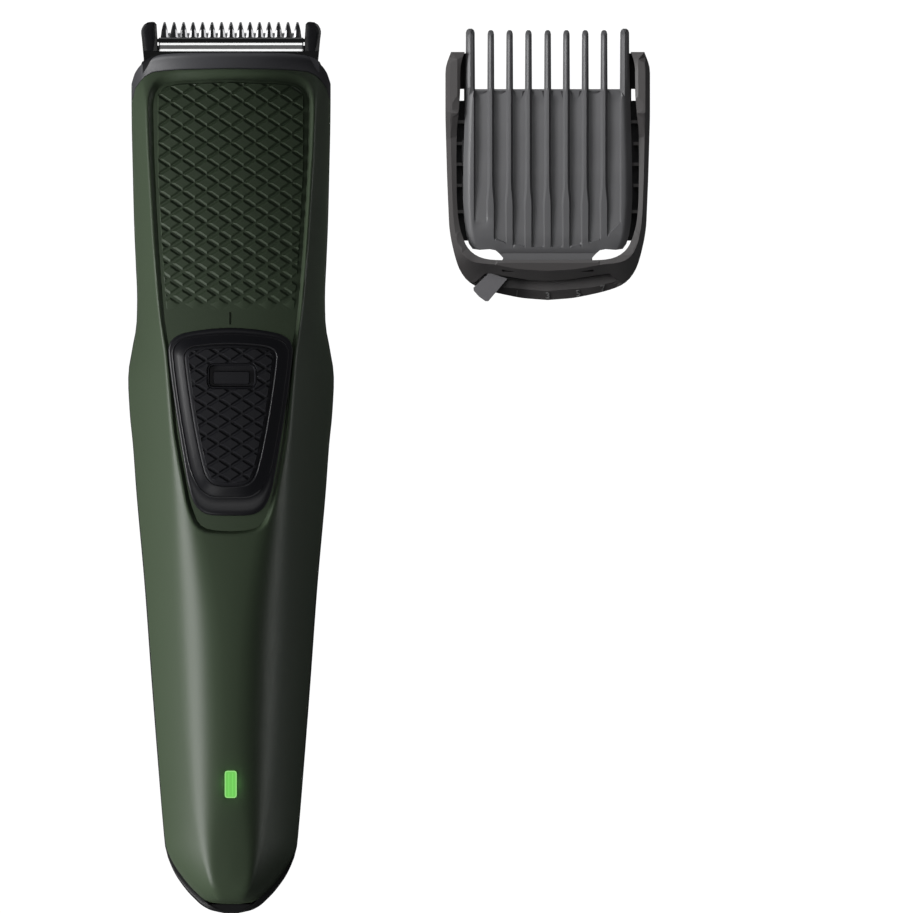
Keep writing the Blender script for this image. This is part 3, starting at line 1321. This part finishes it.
def nearest_tine(x):
    """Distance to the nearest tine, whether it is an outermost one, and its half width."""
    i = np.abs(x[:, None] - TINES[None]).argmin(1)
    outermost = (i == 0) | (i == LAST)
    return np.abs(x - TINES[i]), outermost, np.where(outermost, OUTER_TINE_HALF, TINE_HALF)


def plate_top(x, y, depth):
    ridge = np.interp(y, [35, 37.6, 38.95, 41, 47, 52.6, 60, 72, 76, 77.6, 78.2],
                      [6.2, 6.4, 7.0, 7.5, 8.05, 8.5, 8.7, 8.6, 8.3, 7.6, 6.2])
    e, outermost, half = nearest_tine(x)
    flat, slope = ridge_section(y, outermost)
    valley = np.clip((e - flat) / slope, 0, 1)
    gap = np.clip(np.searchsorted(TINES, x) - 1, 0, LAST - 1)
    middle = (TINES[gap] + TINES[gap + 1]) / 2
    drop = np.interp(y - VALLEY_END[gap] - VALLEY_SLANT[gap] * (x - middle),
                     [0, 0.16, 3, 9, 14], [0, 0.35, 0.55, 0.8, 0.95])
    drop = np.where(gap == 0, np.interp(y - 42.5, [0, 4, 9, 14], [0, 0.4, 0.75, 0.95]), drop)
    half_gap = (TINES[gap + 1] - TINES[gap]) / 2 - 0.4
    valley = valley * (0.88 + 0.12 * np.clip(1 - ((x - middle) / half_gap) ** 2, 0, 1))
    side = np.abs(x) > 13.85
    z = ridge - drop * valley * ~(outermost & side)
    f = np.clip((np.abs(x) - (plate_edge(y) - EDGE_SLOPE)) / EDGE_SLOPE, 0, 1)
    z = z - 1.15 * f ** 1.5 * np.interp(y, [38, 44], [0.5, 1])
    # rounded tines
    tine = y > VALLEY_TOP
    across = np.clip(e / half, 0, 1)
    z = np.where(tine & ~side, ridge - 0.62 * across ** 2.4, z)
    z = np.where(tine & side, ridge - 0.9 * across ** 2, z)
    lip = np.clip((y - VALLEY_TOP) / 0.32, 0, 1) * (valley > 0.5) * 0.12
    z = z - np.where(y <= ROOT_Y, lip, 0)
    # the low tongue at the plate's lower end
    tongue = np.interp(y, [38.2, 38.75], [1, 0]) * (np.abs(x) < 8.9)
    return z * (1 - tongue) + tongue * np.minimum(z, 6.45)


def plate_bottom(x, y, depth):
    e, _, half = nearest_tine(x)
    low = np.interp(y, [63, 64, 66, 70, 75.7, 77.7, 78.2], [5.0, 3.2, 1.5, 1.5, 2.4, 3.6, 4.9])
    return np.where((e < half + 0.01) & (y > 63), np.minimum(low, 5.0), 5.0)


def plate_outline():
    """The tines from right to left, then the left side down and the right side up."""
    outline = []
    for i in range(LAST, -1, -1):
        x = TINES[i]
        outermost = i in (0, LAST)
        h = OUTER_TINE_HALF if outermost else TINE_HALF
        tip = 78.47 if outermost else 78.2
        right = [(0.97, 72), (0.93, tip - 0.7), (0.75, tip - 0.25), (0.35, tip)]
        outline.append((ROOT_X if i == LAST else x + h, ROOT_Y))
        outline += [(x + h * share, y) for share, y in right]
        outline += [(x - h * share, y) for share, y in right[::-1]]
        outline.append((-ROOT_X if i == 0 else x - h, ROOT_Y))
    return resample(np.vstack([outline, mirrored(PLATE_LEFT)]), 1.3)


def plate_lines(margin):
    """Mesh lines along the ridges, tines, valleys, tongue and side edges."""
    def keep(points):
        return inside(margin, points)

    lines = []
    ys = np.concatenate([np.arange(39.2, 44, 0.6), np.arange(44, 54, 0.7),
                         np.arange(54, 67.5, 1.5), [VALLEY_TOP]])
    for i, x in enumerate(TINES):
        outermost = i in (0, LAST)
        half = OUTER_TINE_HALF if outermost else TINE_HALF
        # an outermost tine has a valley on one side only
        sides = [s for s in (-1, 1) if not (outermost and s * np.sign(x) > 0)]
        flat, slope = ridge_section(ys, outermost)
        for side in sides:
            for reach in (flat, flat + slope):
                lines += runs(np.c_[x + side * reach, ys], keep)
        lines.append(column(x, (67.9, 70, 72, 74, 76, 77.2, 77.6)))
        lines += [column(x + share * half, (67.9, 70, 72, 74, 76, 77.2))
                  for share in (-0.55, 0.55)]
        for side in sides:
            lines += [column(x + side * reach, (62.9, 64, 66, 67.2))
                      for reach in (half + 0.005, half + 0.005 + 0.06)]
    for gap in range(LAST):
        left, right = TINES[gap] + 0.95, TINES[gap + 1] - 0.95
        middle = (TINES[gap] + TINES[gap + 1]) / 2
        end, slant = VALLEY_END[gap], VALLEY_SLANT[gap]
        for off in (0.0, 0.16):
            lines.append([(x, end + slant * (x - middle) + off)
                          for x in np.linspace(left, right, 5)])
        lines.append(row(np.linspace(left + 0.1, right - 0.1, 5), VALLEY_TOP))
        for share in (0.2, 0.5, 0.8):
            lines += runs(column(left + (right - left) * share, np.arange(end + 1.2, 67.0, 1.4)),
                          keep)
        lines.append(row(np.linspace(left + 0.1, right - 0.1, 3), 52.6))
    lines.append(row(np.linspace(-7.9, 7.9, 9), 38.2))
    lines.append(row(np.linspace(-8.6, 8.6, 9), 38.8))
    ys = np.arange(40, 67.4, 1.2)
    for side in (-1, 1):
        for off in (EDGE_SLOPE, 1.0, 0.6, 0.3):
            lines += runs(np.c_[side * (plate_edge(ys) - off), ys], keep)
    return lines


def comb_plate():
    outline = plate_outline()
    solid = slab(outline, plate_top, plate_bottom, lines=plate_lines(inset(outline, 0.1)))
    make("comb_plate_skin", at_comb(solid), "comb_slide", "comb_plate_grey", angle=24)
    lugs = [side_box(side, 14.6, 15.35, y, y + 4, 5.02, 6.58)
            for side in (-1, 1) for y in (48, 54.5)]
    lugs.append(cylinder(0, PIVOT_Y + 4.8, 0.9, 2.0, 5.2, 20))
    make("comb_plate_lugs", at_comb(join(lugs)), "comb_slide", "shade_black")


# ------------------------------------------------------------------ build
for build in (front_shell, grip_panel, switch_button, switch_pad, rear_shell, collar, led,
              head_ears, guard_teeth, cutter_tips, blade_clamp,
              comb_frame, comb_web, comb_rails, rim_digits, comb_plate):
    build()

# ------------------------------------------------------------------ CAD pieces
SLOTS = {r["node"]: r["material_slot"] for r in frame["record"]["subparts"]}
# bevel width: pieces
BEVELS = {
    0.06: "guard_blade cutter_blade",
    0.1: "pcb blade_screw_l blade_screw_r",
    0.12: "head_frame",
    0.15: "charge_socket housing_screw_1 housing_screw_2 housing_screw_3 housing_screw_4 "
          "chassis slide_switch switch_carrier lever_pivot",
    0.2: "cutter_driver",
    0.22: "zoom_lever",
    0.4: "motor",
    0.5: "battery",
}
BEVEL_WIDTH = {name: width for width, names in BEVELS.items() for name in names.split()}
for name, node in NODES.items():
    node.data.materials.clear()
    node.data.materials.append(MATERIALS[SLOTS[name]])
    if node.hide_render or name not in BEVEL_WIDTH:
        continue
    weld = node.modifiers.new("weld", "WELD")
    weld.merge_threshold = 0.000002
    bevel = node.modifiers.new("bevel", "BEVEL")
    bevel.width = BEVEL_WIDTH[name] * MM
    bevel.segments = 2
    bevel.limit_method = "ANGLE"
    bevel.angle_limit = math.radians(38)
    bevel.use_clamp_overlap = True
    bevel.harden_normals = False

# ------------------------------------------------------------------ floor and world
FLOOR_GLOSS = 0.55  # brightness of the floor in reflections, away from the body
FLOOR_HALF, FLOOR_Z = 6, -0.0004


def floor_material():
    """White to the camera, pale in reflections and dim as a bounce, so that the sides keep
    their shading. Clear from below, so that the flat back can be looked at too."""
    mat = bpy.data.materials.new("floor_white")
    mat.use_nodes = True
    tree = mat.node_tree
    tree.nodes.clear()
    link = tree.links.new
    output = add_node(tree, "ShaderNodeOutputMaterial")
    rays = add_node(tree, "ShaderNodeLightPath")
    white = add_node(tree, "ShaderNodeEmission", Color=(1, 1, 1, 1), Strength=1.05)
    gloss = add_node(tree, "ShaderNodeEmission", Color=(0.96, 0.98, 1, 1), Strength=FLOOR_GLOSS)
    # the reflected floor fades to dark near x = 0
    geometry = add_node(tree, "ShaderNodeNewGeometry")
    axes = add_node(tree, "ShaderNodeSeparateXYZ")
    absolute = add_node(tree, "ShaderNodeMath")
    absolute.operation = "ABSOLUTE"
    fade = add_node(tree, "ShaderNodeMapRange", From_Min=0.025, From_Max=0.22, To_Min=0.04,
                    To_Max=FLOOR_GLOSS)
    link(geometry.outputs["Position"], axes.inputs[0])
    link(axes.outputs[0], absolute.inputs[0])
    link(absolute.outputs[0], fade.inputs["Value"])
    link(fade.outputs[0], gloss.inputs["Strength"])
    bounce = add_node(tree, "ShaderNodeBsdfDiffuse", Color=(0.1, 0.1, 0.1, 1))
    by_gloss, by_camera, by_side = (add_node(tree, "ShaderNodeMixShader") for _ in range(3))
    clear = add_node(tree, "ShaderNodeBsdfTransparent")
    for mix, factor, first, second in (
            (by_gloss, rays.outputs["Is Glossy Ray"], bounce, gloss),
            (by_camera, rays.outputs["Is Camera Ray"], by_gloss, white),
            (by_side, geometry.outputs["Backfacing"], by_camera, clear)):
        link(factor, mix.inputs[0])
        link(first.outputs[0], mix.inputs[1])
        link(second.outputs[0], mix.inputs[2])
    link(by_side.outputs[0], output.inputs[0])
    return mat


def add_floor():
    data = bpy.data.meshes.new("floor")
    corners = rectangle(-FLOOR_HALF, FLOOR_HALF, -FLOOR_HALF, FLOOR_HALF)
    data.from_pydata([(x, y, FLOOR_Z) for x, y in corners.tolist()], [], [(0, 1, 2, 3)])
    floor = add_object("floor", data)
    data.materials.append(floor_material())
    floor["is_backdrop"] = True


def add_world():
    """A faint cool sky that the camera sees as white."""
    world = bpy.data.worlds.new("world")
    SCENE.world = world
    world.use_nodes = True
    tree = world.node_tree
    sky = tree.nodes["Background"]
    sky.inputs["Color"].default_value = (0.92, 0.96, 1.0, 1)
    sky.inputs["Strength"].default_value = 0.035
    white = add_node(tree, "ShaderNodeBackground", Color=(1, 1, 1, 1), Strength=1.05)
    mix = add_node(tree, "ShaderNodeMixShader")
    rays = add_node(tree, "ShaderNodeLightPath")
    tree.links.new(rays.outputs["Is Camera Ray"], mix.inputs[0])
    tree.links.new(sky.outputs[0], mix.inputs[1])
    tree.links.new(white.outputs[0], mix.inputs[2])
    tree.links.new(mix.outputs[0], tree.nodes["World Output"].inputs[0])


add_floor()
add_world()

# ------------------------------------------------------------------ lights
SETS = {name: bpy.data.collections.new(name + "_set")
        for name in ("all", "comb", "tall", "shell", "panel", "switch", "pad", "collar", "ear",
                     "head")}
OWN_SET = dict(switch_pad_skin="pad", grip_panel_skin="panel", head_collar_skin="collar",
               head_ears="ear")


def lit_set(name, bodies):
    """The set that a piece of the trimmer is lit with, or None."""
    if name in OWN_SET:
        return OWN_SET[name]
    if name.startswith("switch_"):
        return "switch"
    if name.startswith("led_"):
        return None
    return "head" if bodies & {"cutting_head", "cutter"} else "shell"


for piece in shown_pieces():
    bodies = set(body_of(piece) or [])
    SETS["all"].objects.link(piece)
    if bodies & {"comb", "comb_slide", "zoom_lever"}:
        SETS["comb"].objects.link(piece)
        continue
    SETS["tall"].objects.link(piece)
    group = lit_set(piece.name, bodies)
    if group:
        SETS[group].objects.link(piece)

SHELL, SWITCH, HEAD = (0.0, 0.0, 0.012), (0.0, 0.01, 0.03), (0.0, 0.076, 0.012)
# name, place, aim, size, power, set it lights, set that shades it, rays that don't see it
AREA_LIGHTS = [
    # the shell: a long soft key low on the left, a weak card on the right, a strip past the head
    ("key_shell", (-0.52, -0.2, 0.19), SHELL, (0.7, 0.34), 5.0, "shell", "tall"),
    ("card_shell", (0.6, 0.02, 0.13), SHELL, (0.6, 0.2), 0.8, "shell", "tall", "diffuse"),
    ("fill_shell", (0.6, 0.05, 0.07), SHELL, (0.5, 0.2), 0.16, "shell", "tall", "glossy"),
    ("top_shell", (-0.1, 0.0, 0.8), (0.0, 0, 0), (0.6, 0.6), 0.08, "shell", "tall"),
    ("back_shell", (0.0, 0.75, 0.27), (0.0, 0.07, 0.01), (0.6, 0.1), 0.6, "shell", "tall"),
    ("key_collar", (-0.5, 0.33, 0.21), (0.0, 0.07, 0.02), (0.45, 0.3), 3.4, "collar", "tall"),
    ("back_collar", (0.0, 0.75, 0.27), (0.0, 0.07, 0.01), (0.6, 0.1), 0.3, "collar", "tall"),
    # the grip panel is lit from the lower left, which draws one side of its diamonds
    ("key_panel", (-0.455, -0.15, 0.2), (0.0, 0.04, 0.028), (0.4, 0.3), 2.6, "panel", "panel"),
    ("top_panel", (-0.3, 0.1, 0.7), (0.0, 0.04, 0.02), (0.5, 0.5), 0.5, "panel", "tall"),
    # the switch: grazing light from the left, and a little from the lower end
    ("key_switch", (-0.6, -0.02, 0.14), SWITCH, (0.4, 0.12), 2.5, "switch", "switch"),
    ("top_switch", (-0.06, 0.02, 0.8), SWITCH, (0.7, 0.7), 1.7, "switch", "switch"),
    ("key_pad", (-0.5, -0.13, 0.2), SWITCH, (0.3, 0.25), 2.2, "pad", "pad"),
    ("top_pad", (-0.1, 0.02, 0.8), SWITCH, (0.4, 0.4), 0.3, "pad", "pad"),
    ("low_switch", (-0.2, -0.5, 0.3), SWITCH, (0.3, 0.25), 0.3, "switch", "switch"),
    # the head: a strip past it for the clamp, and side lights for the teeth and the ears
    ("back_head", (0.0, 0.62, 0.24), HEAD, (0.7, 0.28), 1.0, "head", "head"),
    ("left_head", (-0.42, 0.24, 0.16), HEAD, (0.3, 0.2), 0.6, "head", "head"),
    ("right_head", (0.5, 0.2, 0.14), HEAD, (0.3, 0.2), 0.3, "head", "head"),
    ("top_head", (0.0, -0.12, 0.8), HEAD, (0.6, 0.5), 0.2, "head", "head"),
    ("key_ears", (-0.5, 0.25, 0.2), HEAD, (0.3, 0.25), 5.0, "ear", "ear"),
    ("back_ears", (-0.3, 0.6, 0.45), HEAD, (0.2, 0.12), 1.0, "ear", "ear"),
    ("key_comb", (-0.35, 0.17, 0.3), (0.057, 0.055, 0), (0.5, 0.2), 2.8, "comb", "comb"),
    ("top_comb", (0.0, 0.25, 0.8), (0.057, 0.05, 0), (0.4, 0.4), 1.15, "comb", "comb"),
    # below the floor, for the sides and the flat back
    ("under_left", (-0.16, 0.12, -0.7), (0.02, 0.0, 0.01), (0.3, 0.3), 5.0, "all", "all",
     "glossy"),
    ("under_right", (0.2, -0.12, -0.7), (0.03, 0.0, 0.01), (0.3, 0.3), 5.0, "all", "all",
     "glossy"),
]


def area_light(name, place, aim, size, power, lit, shading, *hidden):
    """A soft box for one set of pieces, shaded by one set, so that the tall body doesn't
    shade the comb beside it."""
    lamp = bpy.data.lights.new(name, "AREA")
    lamp.shape, lamp.energy = "RECTANGLE", power
    lamp.size, lamp.size_y = size
    obj = bpy.data.objects.new(name, lamp)
    obj.location = place
    obj.rotation_mode = "QUATERNION"
    obj.rotation_quaternion = (Vector(aim) - Vector(place)).to_track_quat("-Z", "Y")
    SCENE.collection.objects.link(obj)
    obj.visible_diffuse, obj.visible_glossy = "diffuse" not in hidden, "glossy" not in hidden
    obj.light_linking.receiver_collection = SETS[lit]
    obj.light_linking.blocker_collection = SETS[shading]
    obj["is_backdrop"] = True


def charge_glow():
    """The glow of the charging light on the shell around it."""
    lamp = bpy.data.lights.new("charge_glow", "POINT")
    lamp.energy, lamp.color, lamp.shadow_soft_size = 0.00016, (0.3, 1.0, 0.22), 0.0006
    obj = add_object("charge_glow", lamp)
    obj.location = (0.0, LED_Y * MM, float(crown(0.0, LED_Y)) * MM + 0.001)
    obj.light_linking.receiver_collection = SETS["shell"]
    obj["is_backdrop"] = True


for light in AREA_LIGHTS:
    area_light(*light)
charge_glow()

# ------------------------------------------------------------------ camera
VIEW_WIDTH, VIEW_Z = 0.16343, 0.013  # width of the view at this height
camera = bpy.data.cameras.new("cam")
camera.lens, camera.sensor_width = 1500, 36
camera.clip_start, camera.clip_end = 0.05, 50
SCENE.camera = add_object("cam", camera)
SCENE.camera.location = (0.04036, 0.0018, VIEW_Z + VIEW_WIDTH * 1500 / 36)
SCENE.view_settings.view_transform = "Standard"
SCENE.view_settings.look = "None"
SCENE.view_settings.exposure = 0
SCENE.view_settings.gamma = 1
